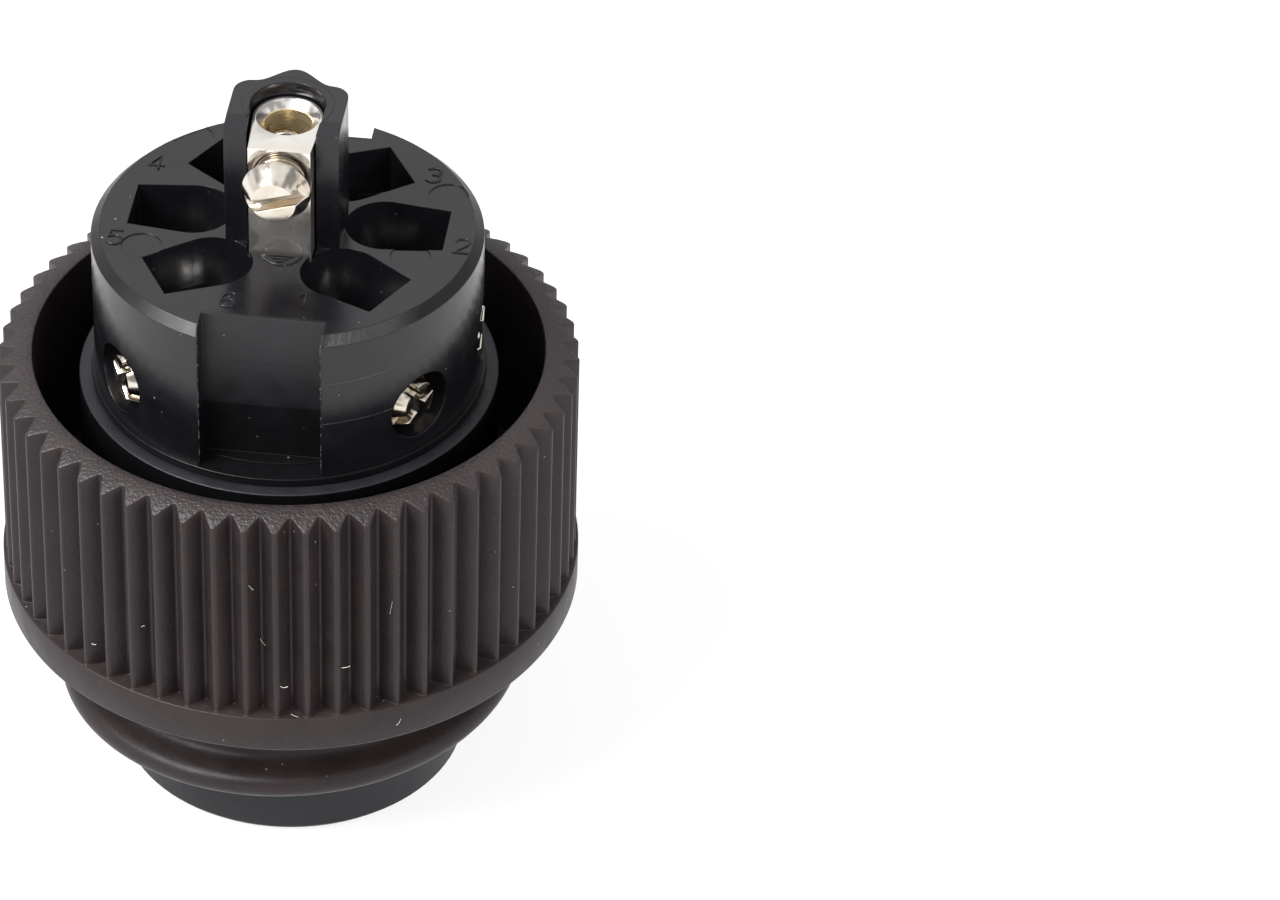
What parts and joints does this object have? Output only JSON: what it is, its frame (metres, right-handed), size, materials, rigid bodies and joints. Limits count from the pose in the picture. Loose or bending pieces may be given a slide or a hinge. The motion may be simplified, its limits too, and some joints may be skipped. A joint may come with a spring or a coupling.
{
  "type": "circular power connector insert",
  "caption": "Male circular power connector insert with screw-clamp wire terminals, earth tower and a knurled coupling ring with a coarse round thread.",
  "frame": {"origin": "centre of the front rim of the shell", "axes": "+Z from the mating side to the wire side along the common axis; -Y towards the polarising key"},
  "size_m": [0.0294, 0.0294, 0.039],
  "materials": {
    "ring_plastic": "dark brown-grey satin glass-filled moulding",
    "shell_plastic": "blue-grey fine sandy matte",
    "seal_rubber": "black elastomer",
    "insulator_plastic": "black semi-gloss moulding",
    "carrier_plastic": "black semi-gloss moulding",
    "contact_metal": "bright nickel plate on turned brass",
    "screw_metal": "bright plated, with fine turning marks"
  },
  "bodies": {
    "insert": {"front_shell": "shell_plastic", "body_seal": "seal_rubber", "front_insulator": "insulator_plastic", "contact_carrier": "carrier_plastic", "contact_1": "contact_metal", "contact_2": "contact_metal", "contact_3": "contact_metal", "contact_4": "contact_metal", "contact_5": "contact_metal", "contact_6": "contact_metal", "contact_earth": "contact_metal"},
    "ring": {"coupling_ring": "ring_plastic"},
    "screw_1": {"clamp_screw_1": "screw_metal"},
    "screw_2": {"clamp_screw_2": "screw_metal"},
    "screw_3": {"clamp_screw_3": "screw_metal"},
    "screw_4": {"clamp_screw_4": "screw_metal"},
    "screw_5": {"clamp_screw_5": "screw_metal"},
    "screw_6": {"clamp_screw_6": "screw_metal"},
    "screw_earth": {"clamp_screw_earth": "screw_metal"}
  },
  "joints": [
    {"name": "ring_spin", "type": "hinge", "parent": "insert", "child": "ring", "pos_m": [0, 0, 0.0142], "axis": [0, 0, 1], "continuous": true},
    {"name": "clamp_screw_1_travel", "type": "slide", "parent": "insert", "child": "screw_1", "axis": [0.866, -0.5, 0], "range_m": [-0.0008, 0.0006]},
    {"name": "clamp_screw_2_travel", "type": "slide", "parent": "insert", "child": "screw_2", "axis": [1, 0, 0], "range_m": [-0.0008, 0.0006]},
    {"name": "clamp_screw_3_travel", "type": "slide", "parent": "insert", "child": "screw_3", "axis": [0.866, 0.5, 0], "range_m": [-0.0008, 0.0006]},
    {"name": "clamp_screw_4_travel", "type": "slide", "parent": "insert", "child": "screw_4", "axis": [-0.866, 0.5, 0], "range_m": [-0.0008, 0.0006]},
    {"name": "clamp_screw_5_travel", "type": "slide", "parent": "insert", "child": "screw_5", "axis": [-1, 0, 0], "range_m": [-0.0008, 0.0006]},
    {"name": "clamp_screw_6_travel", "type": "slide", "parent": "insert", "child": "screw_6", "axis": [-0.866, -0.5, 0], "range_m": [-0.0008, 0.0006]},
    {"name": "clamp_screw_earth_travel", "type": "slide", "parent": "insert", "child": "screw_earth", "axis": [0, -1, 0], "range_m": [-0.0008, 0.0006]}
  ]
}
